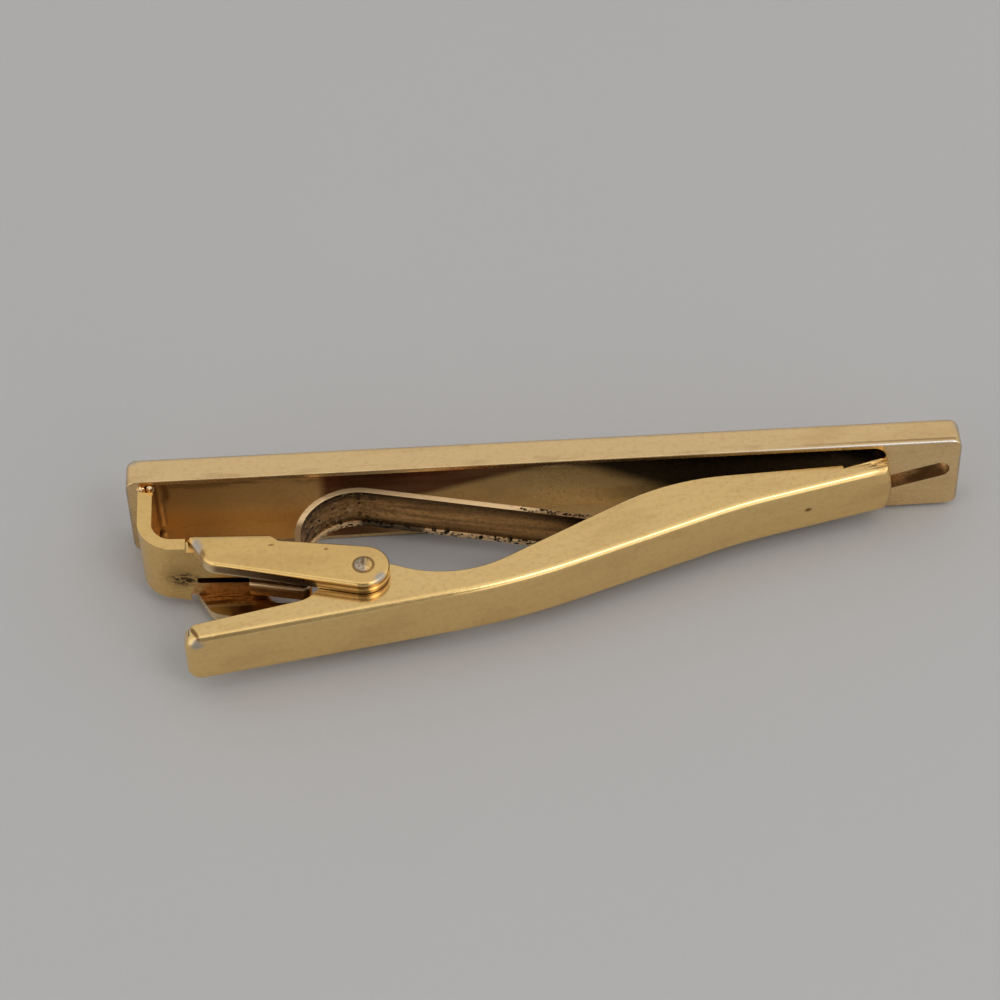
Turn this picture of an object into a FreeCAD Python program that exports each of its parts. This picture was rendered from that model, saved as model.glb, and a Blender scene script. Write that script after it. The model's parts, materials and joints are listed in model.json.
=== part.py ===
"""Tie clip: a shallow tapered bar whose back carries a sprung, hinged clip arm.

Everything is drawn about the bar: X runs along it from the hinge end to the jaw end, Y = 0 is its
back plane with the front face at +Y and the clip arm at -Y, and Z = 0 is its mid-plane. The finished
pieces are then moved together, so that the origin is at the bottom centre of the whole clip.
Millimetres.
"""
import FreeCAD, Part
import math
import os
from FreeCAD import Vector

# Front bar: a tapered tray, hollow at the back, with a solid land at the jaw end
bar_height_hinge_end = 6.8
bar_height_jaw_end = 6.17
bar_thickness = 2.3
bar_corner_radius = 0.7
bar_front_edge_radius = 0.5
bar_rim_edge_radius = 0.08
tray_depth = 1.55
tray_side_wall = 0.32
tray_end_wall = 0.75
tray_corner_radius = 0.9
land_length = 5.1
slot_width = 1.3
slot_depth = 0.95
slot_angle = 16.5
slot_end_inset = 1.34
slot_end_rise = 0.38

# Hinge bracket: one strip, soldered into the tray, bent over and folded into two ears
strip_thickness = 0.92
strip_half_width = 3.0
neck_half_width = 2.45
neck_lower_post = 2.1
neck_lower_ear = 2.7
neck_length = 3.15
tab_side_gap = 0.66
shoulder_gap = 0.45
solder_gap = 0.1
solder_leg = 0.5
solder_film_height = 0.8
solder_side_reach = 0.3
strip_bend_radius = 1.1
bracket_reach = 4.4
web_tilt = 3.0
web_length = 5.25
web_slot_start = 0.55
web_slot_length = 3.7
web_slot_width = 0.52
web_slot_drop = 0.71
ear_reach = 11.75
ear_heel_setback = 1.45
ear_heel_radius = 1.2
ear_end_radius = 1.72
ear_notch_step = 0.08
ear_notch_run = 0.7
ear_arm_side_angle = 14.5
ear_side_clearance = 0.06
ear_fold_radius = 0.55
ear_edge_radius = 0.24
lower_relief_depth = 0.95
lower_relief_length = 3.4
lower_relief_radius = 0.8

# Hinge pin: a plain rivet with a domed head outside each ear
pivot_drop = 3.6
pin_radius = 0.5
pin_running_clearance = 0.04
pin_head_overhang = 0.18
pin_head_height = 0.22

# Clip arm: a pressed channel with a finger lever at one end and the jaw at the other
arm_width = 4.1
arm_sheet = 0.3
arm_outer_bend = 0.45
arm_rim_radius = 0.1
lever_length = 11.8
lever_drop = 5.02
lever_rim_height = 1.42
lever_rim_angle = 12.6
lever_corner_radius = 1.0
lever_slit = 0.1
lever_slit_rise = 0.75
knee_ahead = 10.0
knee_drop = 1.4
arm_knee_radius = 45.0
middle_run = 15.32
elbow_depth = 3.76
arm_elbow_radius = 40.0
jaw_run = 10.48
jaw_depth = 1.225
jaw_overlap = 0.35
jaw_bow = 0.4
jaw_gap = 0.03
jaw_corner_radius = 0.45
jaw_step_inset = 3.3
jaw_step_drop = 0.26
lobe_radius = 1.43
lobe_lever_angle = 45.0
lobe_jaw_angle = 21.8
lobe_lever_fillet = 1.5
waist_radius = 8.0
waist_ahead = 6.06
shoulder_ahead = 20.59
shoulder_depth = 1.11
shoulder_radius = 17.0
cheek_angle = 2.4

# Leaf spring: one bent strip, brazed inside the arm, its tail bearing on the bracket
leaf_thickness = 0.4
leaf_side_gap = 0.04
leaf_lip = 0.32
leaf_dish = 0.16
braze_thickness = 0.1
braze_length = 4.0
braze_side_inset = 0.375
leaf_end_gap = 1.1
leaf_hump_behind = 7.65
leaf_hump_rise = 1.64
leaf_hump_radius = 3.9
leaf_vee_setback = 5.2
leaf_vee_radius = 4.0
leaf_heel_behind = 3.5
leaf_heel_rise = 1.3
leaf_heel_radius = 0.35
leaf_tail_overlap = 1.2
leaf_tail_gap = 0.02
leaf_tail_lip = 1.05

# Values that follow from the sizes above
jaw_reach = knee_ahead + middle_run + jaw_run
bar_length = tray_end_wall + solder_gap + neck_length + ear_reach + jaw_reach - jaw_overlap + land_length
bar_half_length = bar_length / 2
tray_floor = tray_depth
tray_start_x = -bar_half_length + tray_end_wall
land_start_x = bar_half_length - land_length
post_outer_x = tray_start_x + solder_gap
post_centre_x = post_outer_x + strip_thickness / 2
ear_start_x = post_outer_x + neck_length
web_end_x = ear_start_x + web_length
pivot_x = ear_start_x + ear_reach
pivot_y = -bracket_reach - pivot_drop
pin_head_radius = pin_radius + pin_head_overhang
jaw_end_x = pivot_x + jaw_reach
lever_end = (pivot_x - lever_length, pivot_y - lever_drop)
arm_knee = (pivot_x + knee_ahead, pivot_y - knee_drop)
arm_elbow = (pivot_x + knee_ahead + middle_run, -elbow_depth)
jaw_end = (jaw_end_x, -jaw_depth)
shoulder_corner = (pivot_x + shoulder_ahead, -shoulder_depth)
arm_half_width = arm_width / 2
channel_half_width = arm_half_width - arm_sheet
ear_inner_z = arm_half_width + ear_side_clearance
ear_outer_z = ear_inner_z + strip_thickness
leaf_half_width = channel_half_width - leaf_side_gap
far_away = 40.0
touch = 0.001


def in_plan(point):
    """A point of a drawing in the plane of the bend, X and Y."""
    return Vector(point[0], point[1], 0)


def in_elevation(point):
    """A point of a drawing in the plane of the bar's back, X and Z."""
    return Vector(point[0], 0, point[1])


def heading(angle):
    """Unit direction at an angle in degrees from +X."""
    return math.cos(math.radians(angle)), math.sin(math.radians(angle))


def along(point, angle, distance):
    """The point reached from another one by going a distance at an angle."""
    dx, dy = heading(angle)
    return point[0] + dx * distance, point[1] + dy * distance


def meet(first, first_angle, second, second_angle):
    """Where a line through one point crosses a line through another."""
    ax, ay = heading(first_angle)
    bx, by = heading(second_angle)
    gap_x = second[0] - first[0]
    gap_y = second[1] - first[1]
    distance = (gap_x * by - gap_y * bx) / (ax * by - ay * bx)
    return along(first, first_angle, distance)


def slope_between(first, second):
    """Angle in degrees of the line from one point to another."""
    return math.degrees(math.atan2(second[1] - first[1], second[0] - first[0]))


def tangent_angle(point, centre, radius):
    """Angle of the line from a point that touches a circle on its left."""
    distance = math.hypot(centre[0] - point[0], centre[1] - point[1])
    return slope_between(point, centre) + math.degrees(math.asin(radius / distance))


def shifted(points, distance):
    """Corners of the same run of lines, moved to its left by a distance."""
    normals = []
    for first, second in zip(points, points[1:]):
        angle = slope_between(first, second) + 90
        normals.append(heading(angle))
    result = []
    for index, point in enumerate(points):
        before = normals[max(index - 1, 0)]
        after = normals[min(index, len(normals) - 1)]
        share = distance / (1 + before[0] * after[0] + before[1] * after[1])
        result.append((point[0] + share * (before[0] + after[0]), point[1] + share * (before[1] + after[1])))
    return result


def shifted_radii(points, radii, distance):
    """Radii of the corners between a run's ends, moved to its left by a distance."""
    result = []
    for before, corner, after, radius in zip(points, points[1:], points[2:], radii):
        turn = math.sin(math.radians(slope_between(corner, after) - slope_between(before, corner)))
        result.append(radius - math.copysign(1, turn) * distance)
    return result


def rounded_edges(points, radii, place):
    """Edges of a run of lines with an arc of the given radius at each corner between its ends."""
    edges = []
    start = place(points[0])
    for before, corner, after, radius in zip(points, points[1:], points[2:], radii):
        apex = place(corner)
        back = (place(before) - apex).normalize()
        ahead = (place(after) - apex).normalize()
        if radius > 0:
            half_angle = back.getAngle(ahead) / 2
            reach = radius / math.tan(half_angle)
            bisector = (back + ahead).normalize()
            middle = apex + bisector * (radius / math.sin(half_angle) - radius)
            edges.append(Part.makeLine(start, apex + back * reach))
            edges.append(Part.Arc(apex + back * reach, middle, apex + ahead * reach).toShape())
            start = apex + ahead * reach
        else:
            edges.append(Part.makeLine(start, apex))
            start = apex
    edges.append(Part.makeLine(start, place(points[-1])))
    return edges


def outline(points, radii, place):
    """Face with the given corners, each rounded by its radius."""
    middle = ((points[0][0] + points[-1][0]) / 2, (points[0][1] + points[-1][1]) / 2)
    edges = rounded_edges([middle] + list(points) + [middle], radii, place)
    return Part.Face(Part.Wire(edges))


def strip_face(points, radii, right, left):
    """Face between two lines that follow a bent run, at these distances to its left."""
    edges = []
    ends = []
    for distance in (right, left):
        corners = shifted(points, distance)
        edges += rounded_edges(corners, shifted_radii(points, radii, distance), in_plan)
        ends.append((corners[0], corners[-1]))
    for near, far in zip(ends[0], ends[1]):
        edges.append(Part.makeLine(in_plan(near), in_plan(far)))
    return Part.Face(Part.Wire(Part.__sortEdges__(edges)))


def across(face, low, high):
    """Solid made by pulling a plan face across the bar, from one Z to another."""
    placed = face.translated(Vector(0, 0, low))
    return placed.extrude(Vector(0, 0, high - low))


def through(face, low, high):
    """Solid made by pulling an elevation face through the clip, from one Y to another."""
    placed = face.translated(Vector(0, low, 0))
    return placed.extrude(Vector(0, high - low, 0))


def slab(low_x, high_x, low_y, high_y, low_z, high_z):
    """Box between two corners."""
    size = Vector(high_x - low_x, high_y - low_y, high_z - low_z)
    return Part.makeBox(size.x, size.y, size.z, Vector(low_x, low_y, low_z))


def both_sides(shape):
    """A shape and its mirror image in the mid-plane."""
    return [shape, shape.mirror(Vector(0, 0, 0), Vector(0, 0, 1))]


def cylinder_across(x, y, radius, half_length):
    """Cylinder along Z, centred on the mid-plane."""
    return Part.makeCylinder(radius, 2 * half_length, Vector(x, y, -half_length))


def bar_half_height(x):
    """Half of the bar's height at a distance along it."""
    share = (x + bar_half_length) / bar_length
    return (bar_height_hinge_end + (bar_height_jaw_end - bar_height_hinge_end) * share) / 2


def tapered_outline(low_x, high_x, inset, radius):
    """Elevation face that follows the bar's taper at an inset from its long sides."""
    low = bar_half_height(low_x) - inset
    high = bar_half_height(high_x) - inset
    corners = [(low_x, -low), (high_x, -high), (high_x, high), (low_x, low)]
    return outline(corners, [radius] * 4, in_elevation)


def edges_at(shape, test):
    """Edges whose points all pass a test."""
    chosen = []
    for edge in shape.Edges:
        points = edge.discretize(5)
        if all(test(point) for point in points):
            chosen.append(edge)
    return chosen


def front_bar():
    """Tapered tray with a solid land, in which an oblique blind slot runs out of the tray."""
    bar = through(tapered_outline(-bar_half_length, bar_half_length, 0, bar_corner_radius), 0, bar_thickness)
    front_edges = edges_at(bar, lambda point: point.y > bar_thickness - touch)
    bar = bar.makeFillet(bar_front_edge_radius, front_edges)
    rim_edges = edges_at(bar, lambda point: point.y < touch)
    bar = bar.makeFillet(bar_rim_edge_radius, rim_edges)
    tray = tapered_outline(tray_start_x, land_start_x, tray_side_wall, tray_corner_radius)
    bar = bar.cut(through(tray, 0, tray_floor))
    slot_end = (bar_half_length - slot_end_inset, slot_end_rise)
    slot_start = along(slot_end, slot_angle + 180, land_length)
    half = slot_width / 2
    near = shifted([slot_start, slot_end], -half)
    far = shifted([slot_start, slot_end], half)
    tip = along(slot_end, slot_angle, half)
    slot_edges = [
        Part.makeLine(in_elevation(far[0]), in_elevation(near[0])),
        Part.makeLine(in_elevation(near[0]), in_elevation(near[1])),
        Part.Arc(in_elevation(near[1]), in_elevation(tip), in_elevation(far[1])).toShape(),
        Part.makeLine(in_elevation(far[1]), in_elevation(far[0])),
    ]
    slot = through(Part.Face(Part.Wire(slot_edges)), 0, slot_depth)
    return bar.cut(slot)


# Centre line of the bracket's strip, from the tray floor over the bend to the end of its web
web_angle = -web_tilt
bend_corner = meet((post_centre_x, 0), 90, (ear_start_x, -bracket_reach - strip_thickness / 2), web_angle)
past_web_end = meet(bend_corner, web_angle, (web_end_x + strip_thickness, 0), 90)
strip_line = [(post_centre_x, tray_floor), bend_corner, past_web_end]
strip_radii = [strip_bend_radius + strip_thickness / 2]


def web_face_y(x, side):
    """Y of the web's face on the bar's side (+1) or on the arm's side (-1)."""
    offset = side * strip_thickness / 2 / math.cos(math.radians(web_tilt))
    return bend_corner[1] + (x - bend_corner[0]) * math.tan(math.radians(web_angle)) + offset


def ear_face():
    """Plan of one ear: slanted heel at the web's start, round end about the pivot."""
    pivot = (pivot_x, pivot_y)
    web_corner = (web_end_x, web_face_y(web_end_x, 1))
    notch = (web_end_x + ear_notch_run, web_corner[1] - ear_fold_radius - ear_notch_step)
    bar_side_angle = tangent_angle(notch, pivot, ear_end_radius)
    bar_tangent = along(pivot, 90 + bar_side_angle, ear_end_radius)
    arm_tangent = along(pivot, -90 - ear_arm_side_angle, ear_end_radius)
    nose = along(pivot, (bar_side_angle - ear_arm_side_angle) / 2, ear_end_radius)
    heel = meet(arm_tangent, -ear_arm_side_angle, (ear_start_x + ear_heel_setback, 0), 90)
    web_start = (ear_start_x, web_face_y(ear_start_x, 1))
    run = [arm_tangent, heel, web_start, web_corner, notch, bar_tangent]
    edges = rounded_edges(run, [ear_heel_radius, 0, 0, 0], in_plan)
    edges.append(Part.Arc(in_plan(bar_tangent), in_plan(nose), in_plan(arm_tangent)).toShape())
    return Part.Face(Part.Wire(edges))


def lower_relief():
    """Rounded cut in the lower ear's edge beside the end of the web."""
    edge_y = web_face_y(web_end_x, -1)
    floor_y = edge_y - lower_relief_depth
    far_x = web_end_x + lower_relief_length
    corners = [(web_end_x, floor_y), (far_x, floor_y), (far_x, 0), (web_end_x, 0)]
    relief = outline(corners, [lower_relief_radius, lower_relief_radius, 0, 0], in_plan)
    return across(relief, -far_away, -ear_inner_z + touch)


def upper_ear():
    """Upper ear with a rounded fold on the bar's side and a rounded outer rim."""
    ear = across(ear_face(), ear_inner_z, ear_outer_z)
    fold_edges = edges_at(ear, lambda point: point.z > ear_outer_z - touch
                          and abs(point.y - web_face_y(point.x, 1)) < touch and point.x < web_end_x + touch)
    ear = ear.makeFillet(ear_fold_radius, fold_edges)
    fold_reach = ear_fold_radius / math.cos(math.radians(web_tilt))
    rim_edges = edges_at(ear, lambda point: point.z > ear_outer_z - touch
                         and abs(point.y - web_face_y(point.x, 1) + fold_reach) > touch)
    return ear.makeFillet(ear_edge_radius, rim_edges)


def web_slot():
    """Narrow slot through the web, below its middle."""
    low_x = ear_start_x + web_slot_start
    high_x = low_x + web_slot_length
    half = web_slot_width / 2
    corners = [(low_x, -web_slot_drop - half), (high_x, -web_slot_drop - half),
               (high_x, -web_slot_drop + half), (low_x, -web_slot_drop + half)]
    return through(outline(corners, [half / 2] * 4, in_elevation), -far_away, 0)


def hinge_bracket():
    """Strip with a narrowed tab in the tray, a tapered neck, a slotted web and two folded ears."""
    strip = across(strip_face(strip_line, strip_radii, -strip_thickness / 2, strip_thickness / 2),
                   -ear_outer_z, ear_outer_z)
    tab_half_width = bar_half_height(tray_start_x) - tray_side_wall - tab_side_gap
    tab = strip.common(slab(-far_away, far_away, -shoulder_gap, far_away, -tab_half_width, tab_half_width))
    neck_x = post_outer_x + strip_thickness + strip_bend_radius
    neck_corners = [(post_outer_x, -neck_lower_post), (neck_x, -neck_half_width),
                    (ear_start_x, -neck_lower_ear), (ear_start_x, neck_half_width),
                    (neck_x, neck_half_width), (post_outer_x, strip_half_width)]
    neck = strip.common(through(outline(neck_corners, [0] * 6, in_elevation), -far_away, -shoulder_gap))
    web = strip.common(slab(ear_start_x, web_end_x, -far_away, 0, -ear_inner_z, ear_inner_z))
    ears = both_sides(upper_ear())
    bore = cylinder_across(pivot_x, pivot_y, pin_radius, far_away)
    folded = web.cut(web_slot()).fuse(ears).cut([bore, lower_relief()])
    return folded.fuse([neck, tab]).removeSplitter()


def bracket_solder(bracket, bar):
    """Solder round the bracket's tab: a fillet on the tray floor and a film against the end wall."""
    inner_x = post_outer_x + strip_thickness
    film_top = tray_floor - solder_film_height
    foot = (inner_x + solder_leg, tray_floor)
    crest = (inner_x, tray_floor - solder_leg)
    hollow = along((foot[0], crest[1]), 135, solder_leg)
    edges = [
        Part.makeLine(in_plan((tray_start_x, tray_floor)), in_plan(foot)),
        Part.Arc(in_plan(foot), in_plan(hollow), in_plan(crest)).toShape(),
        Part.makeLine(in_plan(crest), in_plan((tray_start_x, film_top))),
        Part.makeLine(in_plan((tray_start_x, film_top)), in_plan((tray_start_x, tray_floor))),
    ]
    bead_half_width = bar_half_height(tray_start_x) - tray_side_wall - tab_side_gap + solder_side_reach
    bead = across(Part.Face(Part.Wire(edges)), -bead_half_width, bead_half_width)
    return bead.cut([bracket, bar])


def pivot_pin():
    """Rivet with a low domed head outside each ear."""
    top = ear_outer_z + pin_head_height
    dome_radius = (pin_head_radius ** 2 + pin_head_height ** 2) / (2 * pin_head_height)
    half_angle = math.asin(pin_head_radius / dome_radius) / 2
    haunch = (dome_radius * math.sin(half_angle), top - dome_radius * (1 - math.cos(half_angle)))
    half = [
        Part.makeLine(in_elevation((0, top)), in_elevation((0, 0))),
        Part.makeLine(in_elevation((0, 0)), in_elevation((pin_radius, 0))),
        Part.makeLine(in_elevation((pin_radius, 0)), in_elevation((pin_radius, ear_outer_z))),
        Part.makeLine(in_elevation((pin_radius, ear_outer_z)), in_elevation((pin_head_radius, ear_outer_z))),
        Part.Arc(in_elevation((pin_head_radius, ear_outer_z)), in_elevation(haunch),
                 in_elevation((0, top))).toShape(),
    ]
    upper = Part.Face(Part.Wire(half)).revolve(Vector(0, 0, 0), Vector(0, 0, 1), 360)
    halves = both_sides(upper)
    return halves[0].fuse(halves[1]).removeSplitter().translated(Vector(pivot_x, pivot_y, 0))


# Outer line of the arm's web, from the finger lever to the jaw, and the rim of its side flanges
arm_line = [lever_end, arm_knee, arm_elbow, jaw_end]
arm_radii = [arm_knee_radius, arm_elbow_radius]


def arm_face():
    """Plan of the arm between its web and the rim of its flanges."""
    pivot = (pivot_x, pivot_y)
    lever_rim = (lever_end[0], lever_end[1] + lever_rim_height)
    lobe_lever = along(pivot, 90 + lobe_lever_angle, lobe_radius)
    lobe_jaw = along(pivot, 90 - lobe_jaw_angle, lobe_radius)
    throat = meet(lever_rim, lever_rim_angle, lobe_lever, lobe_lever_angle)
    crown = meet(lobe_lever, lobe_lever_angle, lobe_jaw, -lobe_jaw_angle)
    waist = meet(lobe_jaw, -lobe_jaw_angle, (pivot_x + waist_ahead, 0), 90)
    jaw_step_x = jaw_end_x - jaw_step_inset
    cheek_end = meet(shoulder_corner, cheek_angle, (jaw_step_x, 0), 90)
    step_foot = (jaw_step_x, cheek_end[1] - jaw_step_drop)
    jaw_crest = (jaw_end_x - 2 * jaw_corner_radius, -jaw_gap)
    jaw_nose = (jaw_end_x, -jaw_gap)
    rim = [jaw_end, jaw_nose, jaw_crest, step_foot, cheek_end,
           shoulder_corner, waist, crown, throat, lever_rim]
    rim_radii = [jaw_corner_radius, jaw_corner_radius, 0, jaw_step_drop / 2, shoulder_radius, waist_radius,
                 lobe_radius, lobe_lever_fillet]
    edges = rounded_edges(arm_line, arm_radii, in_plan)
    edges += rounded_edges(rim, rim_radii, in_plan)
    edges.append(Part.makeLine(in_plan(lever_rim), in_plan(lever_end)))
    return Part.Face(Part.Wire(edges))


def arm_elevation():
    """Elevation of the arm: round corners at the lever, a bowed end at the jaw."""
    half = arm_half_width
    shoulder_x = jaw_end_x - jaw_bow
    run = [(shoulder_x, half), (lever_end[0], half), (lever_end[0], -half), (shoulder_x, -half)]
    edges = rounded_edges(run, [lever_corner_radius] * 2, in_elevation)
    edges.append(Part.Arc(in_elevation((shoulder_x, -half)), in_elevation((jaw_end_x, 0)),
                          in_elevation((shoulder_x, half))).toShape())
    return Part.Face(Part.Wire(edges))


def clip_arm():
    """Pressed channel: web, two flanges with pivot lobes, a turned-up lever end and a closed jaw."""
    arm = across(arm_face(), -arm_half_width, arm_half_width)
    arm = arm.common(through(arm_elevation(), -far_away, far_away))
    web_skin = across(strip_face(arm_line, arm_radii, -touch, touch), -far_away, far_away)
    bend_band = across(strip_face(arm_line, arm_radii, 0, arm_outer_bend), -far_away, far_away)
    web_edges = edges_at(arm, lambda point: web_skin.isInside(point, touch, True))
    arm = arm.makeFillet(arm_outer_bend, web_edges)
    rim_edges = edges_at(arm, lambda point: abs(point.z) > arm_half_width - touch
                         and not bend_band.isInside(point, touch, True))
    arm = arm.makeFillet(arm_rim_radius, rim_edges)
    channel = across(strip_face(arm_line, arm_radii, arm_sheet, far_away / 2),
                     -channel_half_width, channel_half_width)
    channel = channel.common(slab(lever_end[0] + arm_sheet, jaw_end_x - arm_sheet - jaw_bow / 2,
                                  -far_away, far_away, -far_away, far_away))
    arm = arm.cut(channel)
    slit_start = lever_end[0] + arm_sheet
    slit_foot = lever_end[1] + lever_slit_rise
    arm = arm.cut(slab(slit_start, slit_start + lever_slit, slit_foot, 0, -far_away, far_away))
    bore = cylinder_across(pivot_x, pivot_y, pin_radius + pin_running_clearance, far_away)
    return arm.cut(bore)


def leaf_line():
    """Centre line of the leaf from its tail on the bracket, over the hump, to its end in the jaw."""
    middle = leaf_thickness / 2
    tail_x = web_end_x - leaf_tail_overlap
    tail = (tail_x, web_face_y(tail_x, -1) - middle - leaf_tail_gap)
    heel = (pivot_x - leaf_heel_behind, pivot_y + leaf_heel_rise)
    hump = (pivot_x - leaf_hump_behind, leaf_hump_rise)
    seat = shifted(arm_line, arm_sheet + braze_thickness + middle)
    vee = along(seat[2], slope_between(seat[2], seat[1]), leaf_vee_setback)
    end = meet(seat[2], slope_between(seat[2], seat[3]), (jaw_end_x - arm_sheet - leaf_end_gap, 0), 90)
    return [tail, heel, hump, vee, seat[2], end]


def leaf_radii():
    """Bend radii of the leaf's centre line; the last one keeps it parallel to the arm's elbow."""
    seat_radii = shifted_radii(arm_line, arm_radii, arm_sheet + braze_thickness + leaf_thickness / 2)
    return [leaf_heel_radius, leaf_hump_radius, leaf_vee_radius, seat_radii[1]]


def leaf_spring():
    """Bent strip, dished on the arm's side between two lips, of which the lower is wide at the tail."""
    line = leaf_line()
    half = leaf_thickness / 2
    leaf = across(strip_face(line, leaf_radii(), -half, half), -leaf_half_width, leaf_half_width)
    lip_z = leaf_half_width - leaf_lip
    dish = across(strip_face(line, leaf_radii(), -half, -half + leaf_dish), -lip_z, lip_z)
    tail_lip = slab(-far_away, line[1][0], line[1][1] - leaf_thickness, line[0][1] + leaf_thickness,
                    -leaf_half_width, -leaf_half_width + leaf_tail_lip)
    return leaf.cut(dish.cut(tail_lip))


def leaf_braze():
    """Film of braze between the leaf and the arm's web, on the straight run beyond the elbow."""
    jaw_angle = slope_between(arm_elbow, jaw_end)
    elbow_turn = abs(slope_between(arm_knee, arm_elbow) - jaw_angle)
    start = along(arm_elbow, jaw_angle, arm_elbow_radius * math.tan(math.radians(elbow_turn / 2)))
    run = [start, along(start, jaw_angle, braze_length)]
    film = strip_face(run, [], arm_sheet, arm_sheet + braze_thickness)
    half = leaf_half_width - braze_side_inset
    return across(film, -half, half)


bar_shape = front_bar()
bracket_shape = hinge_bracket()
pieces = {
    "front_bar": bar_shape,
    "hinge_bracket": bracket_shape,
    "bracket_solder": bracket_solder(bracket_shape, bar_shape),
    "pivot_pin": pivot_pin(),
    "clip_arm": clip_arm(),
    "leaf_spring": leaf_spring(),
    "leaf_braze": leaf_braze(),
}

clip_box = Part.makeCompound(list(pieces.values())).optimalBoundingBox(False, False)
to_origin = Vector(-clip_box.Center.x, -clip_box.Center.y, -clip_box.ZMin)
print("from bar frame to part frame: %.4f %.4f %.4f" % (to_origin.x, to_origin.y, to_origin.z))

os.makedirs("parts", exist_ok=True)
for name, shape in pieces.items():
    placed = shape.translated(to_origin)
    box = placed.BoundBox
    print("%s: %d solid, valid %s, %.2f mm3, X %.2f..%.2f Y %.2f..%.2f Z %.2f..%.2f" % (
        name, len(placed.Solids), placed.isValid(), placed.Volume,
        box.XMin, box.XMax, box.YMin, box.YMax, box.ZMin, box.ZMax))
    placed.exportStep("parts/%s.step" % name)
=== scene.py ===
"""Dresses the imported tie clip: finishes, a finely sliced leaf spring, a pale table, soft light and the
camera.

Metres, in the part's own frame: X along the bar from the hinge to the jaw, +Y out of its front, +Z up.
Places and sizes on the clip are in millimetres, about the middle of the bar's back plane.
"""
import json
import math

import bmesh
import bpy
from mathutils import Matrix, Vector, noise

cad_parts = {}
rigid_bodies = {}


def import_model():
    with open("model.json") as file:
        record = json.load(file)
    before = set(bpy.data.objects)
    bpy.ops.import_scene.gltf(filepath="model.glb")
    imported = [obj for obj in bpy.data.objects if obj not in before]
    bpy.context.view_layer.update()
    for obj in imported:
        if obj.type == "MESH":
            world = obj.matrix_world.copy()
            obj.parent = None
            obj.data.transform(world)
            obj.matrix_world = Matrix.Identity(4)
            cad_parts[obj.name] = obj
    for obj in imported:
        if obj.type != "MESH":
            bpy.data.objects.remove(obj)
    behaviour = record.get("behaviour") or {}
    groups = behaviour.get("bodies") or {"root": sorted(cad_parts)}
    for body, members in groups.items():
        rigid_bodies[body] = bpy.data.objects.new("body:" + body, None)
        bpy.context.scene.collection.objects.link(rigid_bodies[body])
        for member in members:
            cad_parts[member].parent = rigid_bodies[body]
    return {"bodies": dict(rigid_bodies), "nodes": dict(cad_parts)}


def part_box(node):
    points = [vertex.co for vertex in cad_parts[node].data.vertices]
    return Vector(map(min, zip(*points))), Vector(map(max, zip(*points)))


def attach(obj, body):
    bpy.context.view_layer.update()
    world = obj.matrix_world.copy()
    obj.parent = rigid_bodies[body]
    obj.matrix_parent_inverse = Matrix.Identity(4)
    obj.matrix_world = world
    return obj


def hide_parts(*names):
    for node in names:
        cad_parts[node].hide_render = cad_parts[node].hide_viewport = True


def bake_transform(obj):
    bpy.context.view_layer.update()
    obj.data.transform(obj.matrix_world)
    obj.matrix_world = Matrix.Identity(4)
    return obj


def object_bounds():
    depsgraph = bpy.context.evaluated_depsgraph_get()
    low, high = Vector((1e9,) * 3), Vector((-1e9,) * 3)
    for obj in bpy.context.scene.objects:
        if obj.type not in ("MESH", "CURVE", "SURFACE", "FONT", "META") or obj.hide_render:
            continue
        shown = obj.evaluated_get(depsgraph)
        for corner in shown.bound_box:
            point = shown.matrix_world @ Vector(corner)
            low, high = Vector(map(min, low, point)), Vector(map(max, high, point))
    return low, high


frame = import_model()
nodes = frame["nodes"]
kept = set(nodes.values()) | set(frame["bodies"].values())
for stray in [thing for thing in bpy.data.objects if thing not in kept]:
    bpy.data.objects.remove(stray)
cad_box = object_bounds()

MM = 0.001
bar_low, bar_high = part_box("front_bar")
BACK_PLANE = bar_low.y
MID_HEIGHT = (bar_low.z + bar_high.z) / 2

# Camera: where it stands round the clip, in degrees, millimetres and pixels of the square picture
VIEW_AZIMUTH = -1.67
VIEW_ELEVATION = 48.0
VIEW_ROLL = -1.90
VIEW_TARGET = (-3.1, 0.0, -0.3)
VIEW_DISTANCE = 217.0
FOCAL_PIXELS = 3200.0
PICTURE_PIXELS = 1000.0
SENSOR_WIDTH = 36.0
NEAREST_SEEN = 1.0
FARTHEST_SEEN = 10000.0

# Table and light, in metres and watts: a room with a dim figure in it, and one window overhead.
# An edge of the figure is an axis of the direction looked in, where its shade starts and where it is full.
TABLE_HALF = 1.5
ROOM_TINT = (1.0, 0.985, 0.97)
ROOM_BEFORE = 1.36
ROOM_BEHIND = 0.53
FIGURE_LEVEL = 0.16
FIGURE_EDGES = (("X", -0.45, -0.30), ("X", 0.36, 0.26), ("Y", -0.25, -0.50))
WINDOW_PLACE = (0.22, -0.25, 0.41)
WINDOW_WIDTH = 0.21
WINDOW_DEPTH = 0.17
WINDOW_WATTS = 0.38

# Colours, linear
GOLD = (0.85, 0.565, 0.21)
ARM_GOLD = (0.87, 0.605, 0.25)
BAR_GOLD = (0.84, 0.595, 0.295)
PALE_GOLD = (0.94, 0.74, 0.44)
LIP_GOLD = (0.98, 0.72, 0.41)
DEEP_GOLD = (0.52, 0.30, 0.10)
TRAY_GOLD = (0.94, 0.62, 0.25)
TRAY_BROWN = (0.52, 0.29, 0.095)
WALL_GOLD = (0.82, 0.77, 0.68)
WALL_BRONZE = (0.75, 0.56, 0.32)
SLOT_BRONZE = (0.80, 0.60, 0.38)
SLOT_STAIN = (0.26, 0.17, 0.09)
LEAF_BRONZE = (0.80, 0.45, 0.17)
# Painted reflection colour: dark red, for the tray's floor over the leaf
REFLECTED_WINE = (0.14, 0.03, 0.012)
BROWN = (0.20, 0.095, 0.032)
SOOT = (0.014, 0.008, 0.005)
WORN_GREY = (0.44, 0.41, 0.37)
# Painted highlight colour for the bright edge of the bar's rim
HIGHLIGHT_SILVER = (0.97, 0.90, 0.80)
STEEL = (0.50, 0.43, 0.33)
TABLE = (0.47, 0.465, 0.462)
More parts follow.
